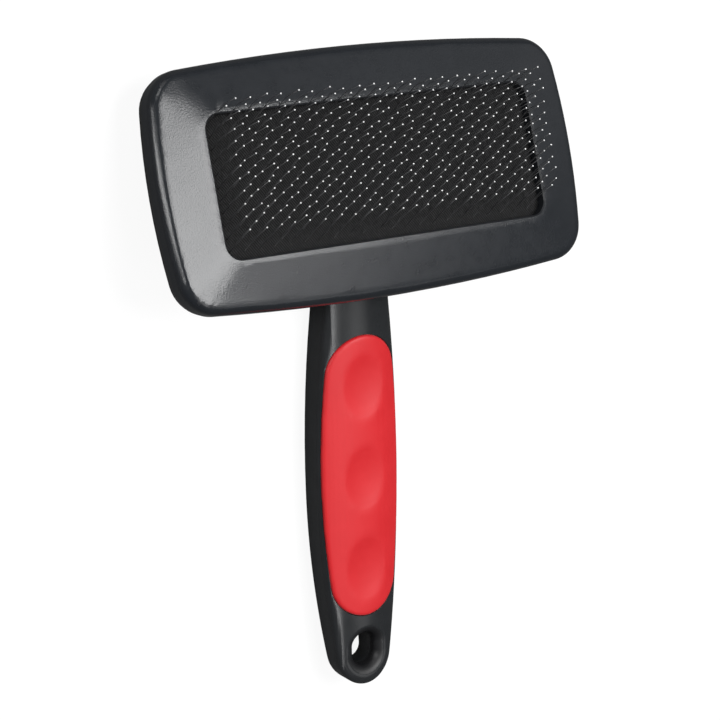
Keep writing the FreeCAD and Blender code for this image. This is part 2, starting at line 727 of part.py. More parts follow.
def make_handle_front():
    """Front half of the handle, with the seat for the soft grip."""
    body = new_body("handle_front")
    outline = new_sketch(body, "HandleOutline", level="seam_level")
    draw_handle_outline(outline)
    pad(body, outline, "front_level - seam_level")
    crown_front(body, "front_level")
    bevel(body, "front_edge", is_front_edge)
    neck = new_sketch(body, "NeckEnd", level="seam_level")
    draw_rectangle(neck, "handle_x + cut_room", "spine_top / 2",
                   "neck_start - shell_gap + spine_top / 2")
    pocket(body, neck, "front_level", backwards=True)
    seat = new_sketch(body, "GripSeat", level="grip_seat")
    draw_grip_outline(seat, clearance="grip_gap")
    pocket(body, seat, "front_level", backwards=True)
    cut_hanging_hole(body, fillet, "hole_lip_front")
    peg = new_sketch(body, "Peg", level="seam_level")
    draw_circle(peg, "- peg_first", "peg_radius")
    first = pad(body, peg, "peg_length", backwards=True)
    pattern(body, first, "peg_pitch", "peg_count", (origin_feature(body, "Y_Axis"), ""))
    return body


def make_front_grip():
    """Soft inlay that fills the seat, follows the handle and has finger dimples."""
    body = new_body("front_grip")
    outline = new_sketch(body, "HandleOutline", level="grip_seat")
    draw_handle_outline(outline)
    pad(body, outline, "grip_level - grip_seat")
    crown_front(body, "grip_level")
    trim = new_sketch(body, "GripOutline")
    draw_grip_outline(trim)
    draw_rectangle(trim, "handle_length", "handle_length", "- handle_widest")
    pocket(body, trim)
    bevel(body, "grip_edge", lambda edge: edge.BoundBox.ZMin > number("grip_seat") + FINE)
    dimple = body.newObject("PartDesign::SubtractiveSphere", "Dimple")
    dimple.AttachmentSupport = [(origin_feature(body, "XZ_Plane"), "")]
    dimple.MapMode = "FlatFace"
    bind(dimple, "Radius", "dimple_radius")
    bind(dimple, "AttachmentOffset.Base.y", "grip_level + dimple_radius - dimple_depth")
    bind(dimple, "AttachmentOffset.Base.z", "dimple_first")
    doc.recompute()
    pattern(body, dimple, "dimple_pitch", "dimple_count",
            (origin_feature(body, "Y_Axis"), ""))
    return body


def make_wire():
    """One wire: two pins, each bent at its knee, joined by a crown behind the cloth."""
    half = number("pin_pitch") / 2
    crown = -number("face_thickness + cloth_thickness + crown_gap / 2")
    cloth = -number("face_thickness")
    side = [Vector(half, 0, crown),
            Vector(half, number("knee_shift"), cloth + number("knee_height")),
            Vector(half, number("tip_shift"), cloth + number("tip_height"))]
    path = [Vector(-point.x, point.y, point.z) for point in reversed(side)] + side
    return bent_rod(path, number("wire_radius"))


def bent_rod(path, radius):
    """A three-sided rod along a path of straight runs, mitred at each bend."""
    runs = [(end - start).normalize() for start, end in zip(path, path[1:])]
    ring = first_ring(path[0], runs[0], radius)
    rings = [ring]
    for index in range(1, len(path)):
        run = runs[index - 1]
        after = runs[index] if index < len(runs) else run
        mitre = (run + after).normalize()
        ring = [slide_to_plane(point, run, path[index], mitre) for point in ring]
        rings.append(ring)
    faces = [Part.Face(Part.makePolygon(loop + loop[:1])) for loop in (rings[0], rings[-1])]
    for low, high in zip(rings, rings[1:]):
        for corner in range(3):
            after = (corner + 1) % 3
            loop = [low[corner], low[after], high[after], high[corner], low[corner]]
            faces.append(Part.Face(Part.makePolygon(loop)))
    rod = Part.makeSolid(Part.makeShell(faces))
    if rod.Volume < 0:
        rod.reverse()
    return rod


def first_ring(centre, run, radius):
    across = Vector(1, 0, 0)
    other = run.cross(across)
    ring = []
    for corner in range(3):
        turn = 2 * math.pi * corner / 3
        ring.append(centre + across * (radius * math.cos(turn)) + other * (radius * math.sin(turn)))
    return ring


def slide_to_plane(point, direction, origin, normal):
    distance = (origin - point).dot(normal) / direction.dot(normal)
    return point + direction * distance


def make_pin_rows():
    """Rows of wires, every second row moved half a pitch along the head."""
    wire = make_wire()
    rows = []
    count = int(number("row_count"))
    wires = int(number("wires_per_row"))
    pitch = number("pin_pitch")
    for row in range(count):
        y = (row - (count - 1) / 2) * number("row_pitch")
        stagger = pitch / 4 if row % 2 else -pitch / 4
        solids = []
        for index in range(wires):
            place = Vector((index - (wires - 1) / 2) * 2 * pitch + stagger, y, 0)
            solids.append(wire.translated(place))
        feature = doc.addObject("Part::Feature", "pin_row_%02d" % (row + 1))
        feature.Label = feature.Name
        feature.Shape = Part.Compound(solids)
        rows.append(feature)
    return rows


def check(feature):
    """Stops the build if a step of the part failed."""
    if {"Invalid", "Error"} & set(feature.State):
        raise ValueError("%s failed: %s" % (feature.Name, feature.State))


def check_shape(part):
    shape = part.Shape
    if shape.isNull() or not shape.isValid() or shape.Volume <= 0:
        raise ValueError("%s has no sound shape" % part.Label)


def stand_on_floor(parts):
    """Moves everything so that the origin is the middle of the part's underside."""
    box = FreeCAD.BoundBox()
    for part in parts:
        box.add(part.Shape.optimalBoundingBox())
    shift = Placement(Vector(0, -box.Center.y, -box.ZMin), Rotation())
    for part in parts:
        part.Placement = shift.multiply(part.Placement)


fill_sheet()
cloth_top = "- face_thickness"
foam_top = "- ( face_thickness + cloth_thickness + crown_gap )"
board_top = "- ( face_thickness + cloth_thickness + crown_gap + foam_thickness )"
head_parts = [
    make_front_frame(),
    make_layer("foundation_cloth", cloth_top, "cloth_thickness"),
    make_layer("foam_cushion", foam_top, "foam_thickness", inset="foam_inset"),
    make_layer("backing_board", board_top, "board_thickness"),
] + make_pin_rows()
for part in head_parts:
    part.Placement = head_placement()
parts = head_parts + [make_back_moulding(), make_handle_front(), make_front_grip()]
stand_on_floor(parts)
doc.recompute()

for feature in doc.Objects:
    check(feature)
for part in parts:
    check_shape(part)
os.makedirs("parts", exist_ok=True)
for part in parts:
    part.Shape.exportStep("parts/%s.step" % part.Label)
    print(part.Label, len(part.Shape.Solids), round(part.Shape.Volume, 1))
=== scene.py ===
import bmesh
import bpy
import math
import random
from mathutils import Matrix, Vector


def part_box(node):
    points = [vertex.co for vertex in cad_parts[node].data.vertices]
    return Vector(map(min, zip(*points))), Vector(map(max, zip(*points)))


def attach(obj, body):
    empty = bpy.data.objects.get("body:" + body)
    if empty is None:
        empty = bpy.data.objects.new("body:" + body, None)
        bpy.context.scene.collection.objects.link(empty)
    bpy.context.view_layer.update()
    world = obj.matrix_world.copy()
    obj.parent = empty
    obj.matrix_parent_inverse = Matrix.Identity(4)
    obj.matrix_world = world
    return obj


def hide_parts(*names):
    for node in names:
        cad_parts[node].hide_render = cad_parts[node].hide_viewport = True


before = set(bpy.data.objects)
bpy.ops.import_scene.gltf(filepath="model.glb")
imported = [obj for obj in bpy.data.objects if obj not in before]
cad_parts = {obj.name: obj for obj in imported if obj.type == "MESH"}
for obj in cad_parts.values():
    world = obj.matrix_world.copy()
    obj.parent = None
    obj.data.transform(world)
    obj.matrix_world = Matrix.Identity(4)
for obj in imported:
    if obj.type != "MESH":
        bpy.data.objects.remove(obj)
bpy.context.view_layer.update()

# Slicker brush on its back. Metres, in the frame of the solids: X across the
# brush, Y along the handle towards the head, Z up. The head has a frame of its
# own: origin in the middle of the window, X across, Y to the head's top edge
# and Z out of its face.
MM = 0.001
HEAD_LEAN = math.radians(16.0)

# pad, in the head's frame; the foam is smaller than its pocket by the clearance,
# and the cloth lies a little deep and waves, both in millimetres
PAD_HALF = Vector((52.0, 22.0)) * MM
CLOTH_HALF = PAD_HALF - Vector((0.3, 0.3)) * MM
CLOTH_TOP = -2.7 * MM
CLOTH_THICKNESS = 1.5 * MM
SHEET_THICKNESS = 0.9 * MM
SHEET_CELLS = (78, 33)
SHEET_DEPTH = 0.12
SHEET_WAVE = 0.06
WAVE_ACROSS = 7.0 * MM
WAVE_ALONG = 5.0 * MM
CROWN_GAP = 0.5 * MM
FOAM_THICKNESS = 3.0 * MM
FOAM_CLEARANCE = Vector((1.2, 1.2, 0.2)) * MM
FOAM_BULGE = 0.06
FOAM_ROUNDING = 0.8 * MM
FOAM_CUTS = 6

# the head's frame, from the middle of the cloth's solid
HEAD_TURN = Matrix.Rotation(-HEAD_LEAN, 4, "X")
CLOTH_LOW, CLOTH_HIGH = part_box("foundation_cloth")
CLOTH_MIDDLE = Vector((0, 0, CLOTH_TOP - CLOTH_THICKNESS / 2))
HEAD_PLACE = (CLOTH_LOW + CLOTH_HIGH) / 2 - HEAD_TURN @ CLOTH_MIDDLE
HEAD = Matrix.Translation(HEAD_PLACE) @ HEAD_TURN

# mouldings: corners closer than the weld are one, and a turn of more degrees
# than the crease shows as an edge
WELD = 0.002 * MM
HEAD_CREASE = 28
HANDLE_CREASE = 50

# the bezel's slopes and the window's edge, told by the Z of their normals in
# the head's frame; the slopes are cut into cells before their hips are smoothed
SLOPE_FACING = (0.93, 0.9995)
EDGE_FACING = (0.3, 0.93)
WINDOW_REACH = PAD_HALF + Vector((4, 4)) * MM
SLOPE_FLATNESS = math.radians(0.3)
SLOPE_CELL = 3.0 * MM
CUT_SNAP = 0.01 * MM
CUTS_ACROSS = 20
CUTS_ALONG = 10
HIP_PASSES = 50

# handle: the rim of the grip's seat, and the mouth of the hanging hole
RIM_MARGIN = Vector((1, 1)) * MM
RIM_LIFT = 0.8 * MM
RIM_TURN = math.radians(50)
RIM_BEVEL = 0.4 * MM
HOLE_Y = -74.5 * MM
MOUTH_RADIUS = 7.5 * MM
MOUTH_FACING = 0.96

# grip: its dimples lie within a share of its oval outline
GRIP_VOXEL = 0.4 * MM
DIMPLE_SHARE = 0.86
DIMPLE_LIFT = 0.5 * MM
DIMPLE_PASSES = 14
GRIP_PASSES = 5

# pins: a bend starts and ends at shares of the runs below and above the knee;
# the strays are in millimetres, and the knee takes a share of them
ROWS = 22
ROW_PITCH = 1.5 * MM
WIRES_PER_ROW = 11
PIN_PITCH = 4.2 * MM
KNEE_HEIGHT = 5.3 * MM
KNEE_SHIFT = 3.0 * MM
TIP_HEIGHT = 11.5 * MM
TIP_SHIFT = 4.2 * MM
TIP_GATHER = 0.95
BEND_START = 0.14
BEND_END = 0.12
STRAY_ACROSS = 0.9
STRAY_ALONG = 0.5
KNEE_STRAY = 0.4
STEM_RADIUS = 0.1 * MM
STEM_SIDES = 6
BALL_RADIUS = 0.21 * MM
BALL_SEGMENTS = 8
BALL_RINGS = 5

# camera, in the head's frame
CAMERA_PLACE = Vector((-288.3, -33.7, 423.25)) * MM
CAMERA_FORWARD = Vector((0.5404, -0.0228, -0.8411))
CAMERA_UP = Vector((0.1559, 0.9850, 0.0734))

WHITE = (1, 1, 1)
ROOM_GREY = (0.09, 0.096, 0.1)
FLOOR_GREY = (0.1, 0.1, 0.1)
FLOOR_GLOW = 0.91


# ---------------------------------------------------------------- materials

def node_group(name, inputs, outputs):
    """An empty shader group with named sockets; an input has a name, a kind and a value."""
    group = bpy.data.node_groups.new(name, "ShaderNodeTree")
    for label, kind, value in inputs:
        socket = group.interface.new_socket(label, in_out="INPUT", socket_type=kind)
        if value is not None:
            socket.default_value = value
    for label, kind in outputs:
        group.interface.new_socket(label, in_out="OUTPUT", socket_type=kind)
    return group, group.nodes.new("NodeGroupInput"), group.nodes.new("NodeGroupOutput")


def add_node(tree, kind, **settings):
    """A node with its settings; a setting that names an input sets that input."""
    node = tree.nodes.new("ShaderNode" + kind)
    for name, value in settings.items():
        if hasattr(node, name):
            setattr(node, name, value)
        else:
            node.inputs[name.replace("_", " ")].default_value = value
    return node


def math_node(tree, operation, first, second, clamp=False):
    """The result of an operation on two values, each a number or an output."""
    node = tree.nodes.new("ShaderNodeMath")
    node.operation = operation
    node.use_clamp = clamp
    for index, value in enumerate((first, second)):
        if isinstance(value, (int, float)):
            node.inputs[index].default_value = value
        else:
            tree.links.new(value, node.inputs[index])
    return node.outputs[0]


def make_moulded_skin():
    """Moulded plastic: slow ripples, fine grain and cloudy patches of gloss."""
    number = "NodeSocketFloat"
    group, given, result = node_group(
        "moulded_skin",
        [("Vector", "NodeSocketVector", None), ("Ripple Size", number, 9.0),
         ("Ripple", number, 0.5), ("Grain Size", number, 0.35), ("Grain", number, 0.3),
         ("Roughness", number, 0.3), ("Patchiness", number, 0.06)],
        [("Height", number), ("Roughness", number), ("Patches", number)])
    millimetres = add_node(group, "VectorMath", operation="SCALE")
    millimetres.inputs["Scale"].default_value = 1 / MM
    group.links.new(given.outputs["Vector"], millimetres.inputs[0])

    def noise(size, detail, roughness=0.5):
        field = add_node(group, "TexNoise", Detail=detail, Roughness=roughness)
        group.links.new(millimetres.outputs[0], field.inputs["Vector"])
        group.links.new(math_node(group, "DIVIDE", 1.0, size), field.inputs["Scale"])
        return field.outputs["Fac"]

    ripples = noise(given.outputs["Ripple Size"], 1.0)
    grain = noise(given.outputs["Grain Size"], 2.0)
    patch_size = math_node(group, "MULTIPLY", given.outputs["Ripple Size"], 0.45)
    patches = noise(patch_size, 4.0, 0.62)
    slow = math_node(group, "MULTIPLY", ripples, given.outputs["Ripple"])
    fine = math_node(group, "MULTIPLY", grain, given.outputs["Grain"])
    group.links.new(math_node(group, "ADD", slow, fine), result.inputs["Height"])
    centred = math_node(group, "SUBTRACT", patches, 0.5)
    spread = math_node(group, "MULTIPLY", centred, given.outputs["Patchiness"])
    group.links.new(math_node(group, "ADD", given.outputs["Roughness"], spread),
                    result.inputs["Roughness"])
    group.links.new(patches, result.inputs["Patches"])
    return group


def new_material(name, **shader_values):
    """A material, its node tree and its shader with the given values."""
    material = bpy.data.materials.new(name)
    material.use_nodes = True
    shader = material.node_tree.nodes["Principled BSDF"]
    for label, value in shader_values.items():
        shader.inputs[label.replace("_", " ")].default_value = value
    return material, material.node_tree, shader


def add_bump(tree, shader, height, distance):
    """Relief on a shader's normal from a height, as deep as the distance."""
    bump = add_node(tree, "Bump", Strength=1.0, Distance=distance)
    tree.links.new(height, bump.inputs["Height"])
    tree.links.new(bump.outputs["Normal"], shader.inputs["Normal"])


def mixed_colour(tree, factor, low, high):
    """A colour that goes from one to another as a factor goes from 0 to 1."""
    mix = add_node(tree, "Mix", data_type="RGBA")
    tree.links.new(factor, mix.inputs["Factor"])
    colours = [socket for socket in mix.inputs if socket.type == "RGBA"]
    colours[0].default_value = (*low, 1)
    colours[1].default_value = (*high, 1)
    return [socket for socket in mix.outputs if socket.type == "RGBA"][0]


def lay_skin(tree, shader, skin, low, high, **values):
    """Lay a moulded skin over a shader, with its colours; returns the skin's height."""
    place = add_node(tree, "TexCoord")
    look = add_node(tree, "Group", node_tree=skin, **values)
    tree.links.new(place.outputs["Object"], look.inputs["Vector"])
    tree.links.new(look.outputs["Roughness"], shader.inputs["Roughness"])
    tree.links.new(mixed_colour(tree, look.outputs["Patches"], low, high),
                   shader.inputs["Base Color"])
    return look.outputs["Height"]


def black_plastic(name, skin, roughness, grain, patchiness, relief, low, high):
    """Black injection-moulded plastic; relief is the depth of its skin."""
    material, tree, shader = new_material(name, IOR=1.5)
    height = lay_skin(tree, shader, skin, low, high, Roughness=roughness, Grain=grain,
                      Patchiness=patchiness)
    add_bump(tree, shader, height, relief)
    return material


def red_rubber(skin):
    """Matt soft-touch rubber: fine grain, a soft bloom and a faint sheen."""
    material, tree, shader = new_material(
        "soft_grip_red", IOR=1.45, Sheen_Weight=0.15, Sheen_Roughness=0.4)
    height = lay_skin(tree, shader, skin, (0.55, 0.008, 0.012), (0.62, 0.015, 0.021),
                      Ripple_Size=14.0, Ripple=0.6, Grain_Size=0.22, Grain=0.35,
                      Roughness=0.5, Patchiness=0.1)
    add_bump(tree, shader, height, 0.03 * MM)
    return material


def twill_cloth():
    """Black twill: slanting ridges crossed by fine threads, from the piece's UV map, with
    painted shade darkening the grooves.
    """
    material, tree, shader = new_material(
        "foundation_twill", Roughness=0.85, Specular_IOR_Level=0.25)
    place = add_node(tree, "TexCoord")
    turned = add_node(tree, "Mapping", vector_type="POINT")
    turned.inputs["Rotation"].default_value = (0, 0, math.radians(-35))
    tree.links.new(place.outputs["UV"], turned.inputs["Vector"])
    ridges = add_node(tree, "TexWave", wave_type="BANDS", bands_direction="X",
                      wave_profile="SIN", Scale=0.56 / MM, Distortion=1.2, Detail=1.0,
                      Detail_Scale=2.0)
    tree.links.new(turned.outputs[0], ridges.inputs["Vector"])
    threads = add_node(tree, "TexWave", wave_type="BANDS", bands_direction="Y",
                       wave_profile="SIN", Scale=1.1 / MM, Distortion=1.0)
    tree.links.new(turned.outputs[0], threads.inputs["Vector"])
    fluff = add_node(tree, "TexNoise", Scale=0.9 / MM, Detail=4.0)
    tree.links.new(place.outputs["UV"], fluff.inputs["Vector"])
    woven = math_node(tree, "ADD", ridges.outputs["Fac"],
                      math_node(tree, "MULTIPLY", threads.outputs["Fac"], 0.35))
    height = math_node(tree, "ADD", woven,
                       math_node(tree, "MULTIPLY", fluff.outputs["Fac"], 0.3))
    # painted shade: the weave's grooves are painted darker than its ridges, broken by random
    # fluff
    raised = math_node(tree, "MULTIPLY", woven, woven)
    groove_shade_and_fluff = math_node(tree, "MULTIPLY", raised, fluff.outputs["Fac"], clamp=True)
    colour = mixed_colour(tree, groove_shade_and_fluff, (0.0015, 0.0015, 0.0016), (0.037, 0.037, 0.038))
    tree.links.new(colour, shader.inputs["Base Color"])
    add_bump(tree, shader, height, 0.12 * MM)
    return material


def cellular_foam():
    """Dark closed-cell foam: small cells, with painted shade darkening the sunken edges
    between them.
    """
    material, tree, shader = new_material("pad_foam", Roughness=0.9)
    place = add_node(tree, "TexCoord")
    cells = add_node(tree, "TexVoronoi", Scale=1.6 / MM, feature="DISTANCE_TO_EDGE")
    tree.links.new(place.outputs["Object"], cells.inputs["Vector"])
    # painted shade: each cell is painted darker towards its sunken edge
    colour = mixed_colour(tree, cells.outputs["Distance"],
                          (0.05, 0.05, 0.052), (0.16, 0.16, 0.165))
    tree.links.new(colour, shader.inputs["Base Color"])
    add_bump(tree, shader, cells.outputs["Distance"], 0.2 * MM)
    return material


def drawn_steel(skin):
    """Drawn steel wire, slightly dull."""
    material, tree, shader = new_material("pin_steel", Metallic=0.6)
    lay_skin(tree, shader, skin, (0.07, 0.07, 0.072), (0.12, 0.12, 0.122),
             Ripple_Size=3.0, Grain_Size=0.12, Roughness=0.5, Patchiness=0.2)
    return material


def glint_white_tip(skin):
    """A pin's rounded end, painted near white as a painted glint of polished steel."""
    material, tree, shader = new_material("pin_tip", IOR=1.6)
    # painted highlight: the near-white colour stands in for the glint of a polished steel end
    lay_skin(tree, shader, skin, (0.8, 0.8, 0.8), (0.95, 0.95, 0.95),
             Ripple_Size=6.0, Grain_Size=0.3, Roughness=0.22, Patchiness=0.15)
    return material


# ------------------------------------------------------------ work on meshes

def linked(items, kind):
    """The elements of a kind, such as link_faces, that items have, each once and in order."""
    return list(dict.fromkeys(found for item in items for found in getattr(item, kind)))


def within(faces, items):
    """The corners or edges that touch no other faces than these."""
    held = set(faces)
    return [item for item in items if all(face in held for face in item.link_faces)]


def smooth(bm, verts, passes, axes="xyz"):
    """Even out corners, halfway in each pass, along the given axes."""
    for _ in range(passes):
        bmesh.ops.smooth_vert(bm, verts=verts, factor=0.5, use_axis_x="x" in axes,
                              use_axis_y="y" in axes, use_axis_z="z" in axes)


def merged_copy(node):
    """A bmesh of a solid's triangles with their corners merged."""
    bm = bmesh.new()
    bm.from_mesh(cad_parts[node].data)
    bmesh.ops.remove_doubles(bm, verts=bm.verts, dist=WELD)
    bmesh.ops.dissolve_degenerate(bm, edges=bm.edges, dist=WELD)
    return bm


def evaluated_mesh(piece):
    """The piece's mesh with its modifiers applied."""
    depsgraph = bpy.context.evaluated_depsgraph_get()
    return bpy.data.meshes.new_from_object(piece.evaluated_get(depsgraph))


def mesh_from(name, bm):
    """A mesh from a bmesh, which is freed."""
    mesh = bpy.data.meshes.new(name)
    bm.to_mesh(mesh)
    bm.free()
    return mesh


def add_object(name, data):
    """An object in the scene with the given data."""
    item = bpy.data.objects.new(name, data)
    bpy.context.scene.collection.objects.link(item)
    return item


# ------------------------------------------------------------------- pieces

def new_piece(name, bm, materials):
    """A smooth-shaded piece of the brush from a bmesh that is already in its place."""
    mesh = mesh_from(name, bm)
    piece = add_object(name, mesh)
    for material in materials:
        mesh.materials.append(material)
    mesh.shade_smooth()
    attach(piece, "root")
    return piece


def slope_faces(bm):
    """The faces of the bezel's slopes, in the head's frame."""
    bm.normal_update()
    low, high = SLOPE_FACING
    return [face for face in bm.faces if low < face.normal.z < high]


def near_window(point):
    """Whether a point of the head's frame is at the window or close round it."""
    return abs(point.x) < WINDOW_REACH.x and abs(point.y) < WINDOW_REACH.y


def soften_hips(bm):
    """Let the four slopes run into each other over soft hips, and dull the window's edge."""
    bmesh.ops.transform(bm, matrix=HEAD.inverted(), verts=bm.verts)
    faces = slope_faces(bm)
    bmesh.ops.dissolve_limit(bm, angle_limit=SLOPE_FLATNESS, verts=within(faces, bm.verts),
                             edges=within(faces, bm.edges))
    for normal, cuts in ((Vector((1, 0, 0)), CUTS_ACROSS), (Vector((0, 1, 0)), CUTS_ALONG)):
        for step in range(-cuts, cuts + 1):
            faces = slope_faces(bm)
            bmesh.ops.bisect_plane(
                bm, geom=faces + linked(faces, "edges") + linked(faces, "verts"),
                dist=CUT_SNAP, plane_co=normal * (step + 0.5) * SLOPE_CELL, plane_no=normal)

    # the ring of corners next to the bezel's outer border stays where it is
    free = within(slope_faces(bm), bm.verts)
    known = set(free)
    inner = [vertex for vertex in free
             if near_window(vertex.co)
             or all(edge.other_vert(vertex) in known for edge in vertex.link_edges)]
    smooth(bm, inner, HIP_PASSES)
    bm.normal_update()
    low, high = EDGE_FACING
    for face in bm.faces:
        if near_window(face.calc_center_median()) and low < face.normal.z < high:
            face.material_index = 1
    bmesh.ops.transform(bm, matrix=HEAD, verts=bm.verts)


def grip_extent():
    """The grip's lowest height, its middle along Y, and half its width and length."""
    low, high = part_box("front_grip")
    return low.z, (low.y + high.y) / 2, Vector(((high.x - low.x) / 2, (high.y - low.y) / 2))


def ease_handle(bm):
    """Break the sharp edge round the grip's seat, and give the mouth of the hanging hole a
    rougher black that is painted darker, as painted shade in its recess.
    """
    bottom, middle_y, half = grip_extent()
    half += RIM_MARGIN
    bm.normal_update()

    def on_rim(vertex):
        return (abs(vertex.co.x) < half.x and abs(vertex.co.y - middle_y) < half.y
                and vertex.co.z > bottom + RIM_LIFT)

    rim = [edge for edge in bm.edges
           if edge.is_convex and edge.calc_face_angle(0) > RIM_TURN
           and all(on_rim(vertex) for vertex in edge.verts)]
    bmesh.ops.bevel(bm, geom=rim, offset=RIM_BEVEL, segments=2, profile=0.5, affect="EDGES",
                    material=-1, clamp_overlap=True)
    bm.normal_update()
    for face in bm.faces:
        middle = face.calc_center_median()
        from_hole = Vector((middle.x, middle.y - HOLE_Y))
        # the mouth's faces take the darker black, a painted shade of the hole's recess
        if from_hole.length < MOUTH_RADIUS and face.normal.z < MOUTH_FACING:
            face.material_index = 1


def dress_moulding(node, materials, crease, finish=None):
    """A smooth-shaded copy of a rigid moulding's solid, sharp where it turns by a crease."""
    bm = merged_copy(node)
    if finish:
        finish(bm)
    for edge in bm.edges:
        turn = math.degrees(edge.calc_face_angle(0))
        edge.smooth = len(edge.link_faces) == 2 and turn < crease
    piece = new_piece(node + "_moulding", bm, materials)
    weighted = piece.modifiers.new("weighted normals", "WEIGHTED_NORMAL")
    weighted.keep_sharp = True
    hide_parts(node)


def make_soft_grip(material):
    """The grip's solid with its dimples' rims worked soft, as rubber is."""
    blank = new_piece("grip_blank", merged_copy("front_grip"), [material])
    remesh = blank.modifiers.new("voxels", "REMESH")
    remesh.mode = "VOXEL"
    remesh.voxel_size = GRIP_VOXEL
    mesh = evaluated_mesh(blank)
    bpy.data.objects.remove(blank)
    bm = bmesh.new()
    bm.from_mesh(mesh)
    bottom, middle_y, half = grip_extent()
    inner = [v for v in bm.verts
             if (v.co.x / half.x) ** 2 + ((v.co.y - middle_y) / half.y) ** 2 < DIMPLE_SHARE
             and v.co.z > bottom + DIMPLE_LIFT]
    smooth(bm, inner, DIMPLE_PASSES, "z")
    smooth(bm, bm.verts, GRIP_PASSES)
    piece = new_piece("soft_grip", bm, [material])
    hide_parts("front_grip")


def make_cloth(material):
    """The woven foundation: a sheet stretched over the foam, gently uneven."""
    bm = bmesh.new()
    across, along = SHEET_CELLS
    bmesh.ops.create_grid(bm, x_segments=across, y_segments=along, size=1.0)
    uv = bm.loops.layers.uv.new("weave")
    for vertex in bm.verts:
        vertex.co.x *= CLOTH_HALF.x
        vertex.co.y *= CLOTH_HALF.y
    for face in bm.faces:
        for loop in face.loops:
            loop[uv].uv = loop.vert.co.xy
    for vertex in bm.verts:
        wave = math.sin(vertex.co.x / WAVE_ACROSS) * math.cos(vertex.co.y / WAVE_ALONG)
        vertex.co.z = CLOTH_TOP - (SHEET_DEPTH + SHEET_WAVE * wave) * MM
    bmesh.ops.transform(bm, matrix=HEAD, verts=bm.verts)
    piece = new_piece("foundation_sheet", bm, [material])
    thickness = piece.modifiers.new("thickness", "SOLIDIFY")
    thickness.thickness = SHEET_THICKNESS
    thickness.offset = -1
    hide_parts("foundation_cloth")


def make_foam(material):
    """The foam behind the wires' crowns, bulging a little between its corners."""
    low = CLOTH_TOP - CLOTH_THICKNESS - CROWN_GAP - FOAM_THICKNESS
    size = Vector((2 * PAD_HALF.x, 2 * PAD_HALF.y, FOAM_THICKNESS)) - FOAM_CLEARANCE
    bm = bmesh.new()
    bmesh.ops.create_cube(bm, size=1.0)
    bmesh.ops.scale(bm, vec=size, verts=bm.verts)
    bmesh.ops.subdivide_edges(bm, edges=bm.edges, cuts=FOAM_CUTS, use_grid_fill=True)
    bmesh.ops.bevel(bm, geom=[e for e in bm.edges if e.calc_face_angle(0) > 1],
                    offset=FOAM_ROUNDING, segments=3, profile=0.5, affect="EDGES",
                    material=-1)
    for vertex in bm.verts:
        across = 1 - (2 * vertex.co.x / size.x) ** 2
        along = 1 - (2 * vertex.co.y / size.y) ** 2
        vertex.co.z *= 1 - FOAM_BULGE + FOAM_BULGE * across * along
    bmesh.ops.translate(bm, vec=(0, 0, low + FOAM_THICKNESS / 2), verts=bm.verts)
    bmesh.ops.transform(bm, matrix=HEAD, verts=bm.verts)
    piece = new_piece("foam_pad", bm, [material])
    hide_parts("foam_cushion")


def extrude_rod(bm, path, radius, sides):
    """A round rod along a path of points, closed at both ends."""
    run = (path[1] - path[0]).normalized()
    facing = run.to_track_quat("Z", "X").to_matrix().to_4x4()
    ring = bmesh.ops.create_circle(bm, cap_ends=True, segments=sides, radius=radius,
                                   matrix=Matrix.Translation(path[0]) @ facing)["verts"]
    bmesh.ops.reverse_faces(bm, faces=linked(ring, "link_faces"))
    edges = linked(ring, "link_edges")
    for index in range(1, len(path)):
        step = path[index] - path[index - 1]
        before = step.normalized()
        after = path[min(index + 1, len(path) - 1)] - path[index]
        after = after.normalized() if after.length > 0 else before
        grown = bmesh.ops.extrude_edge_only(bm, edges=edges)["geom"]
        ring = [item for item in grown if isinstance(item, bmesh.types.BMVert)]
        edges = [item for item in grown if isinstance(item, bmesh.types.BMEdge)]
        new_run = (before + after).normalized()
        turn = run.rotation_difference(new_run).to_matrix()
        bmesh.ops.rotate(bm, cent=path[index - 1], matrix=turn, verts=ring)
        bmesh.ops.translate(bm, vec=step, verts=ring)
        run = new_run
    bmesh.ops.contextual_create(bm, geom=edges)


def pin_path(x, y, stray):
    """Points of one pin from behind the cloth to its tip; stray is how far the tip is off."""
    foot = Vector((x, y, CLOTH_TOP - CLOTH_THICKNESS - CROWN_GAP / 2))
    knee = Vector((x + KNEE_STRAY * stray.x, y + KNEE_SHIFT + KNEE_STRAY * stray.y,
                   CLOTH_TOP + KNEE_HEIGHT))
    tip = Vector((x + stray.x, TIP_GATHER * y + TIP_SHIFT + stray.y, CLOTH_TOP + TIP_HEIGHT))
    return [foot, knee.lerp(foot, BEND_START), knee.lerp(tip, BEND_END), tip]


def make_pin_row(row, chance, materials):
    """A row of U-shaped wires: two bent pins and the crown that joins them."""
    bm = bmesh.new()
    y = (row - (ROWS - 1) / 2) * ROW_PITCH
    stagger = PIN_PITCH / 4 * (1 if row % 2 else -1)
    for wire in range(WIRES_PER_ROW):
        x = (wire - (WIRES_PER_ROW - 1) / 2) * 2 * PIN_PITCH + stagger
        paths = []
        for side in (-0.5, 0.5):
            stray = Vector((chance.triangular(-STRAY_ACROSS, STRAY_ACROSS),
                            chance.triangular(-STRAY_ALONG, STRAY_ALONG))) * MM
            paths.append(pin_path(x + side * PIN_PITCH, y, stray))
        extrude_rod(bm, paths[0][::-1] + paths[1], STEM_RADIUS, STEM_SIDES)
        for path in paths:
            ball = bmesh.ops.create_uvsphere(bm, u_segments=BALL_SEGMENTS,
                                             v_segments=BALL_RINGS, radius=BALL_RADIUS,
                                             matrix=Matrix.Translation(path[-1]))
            # the balls take the near-white tip, a painted glint of polished steel
            for face in linked(ball["verts"], "link_faces"):
                face.material_index = 1
    bmesh.ops.transform(bm, matrix=HEAD, verts=bm.verts)
    node = "pin_row_%02d" % (row + 1)
    piece = new_piece(node.replace("row", "wires"), bm, materials)
    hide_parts(node)


# -------------------------------------------------------------------- scene

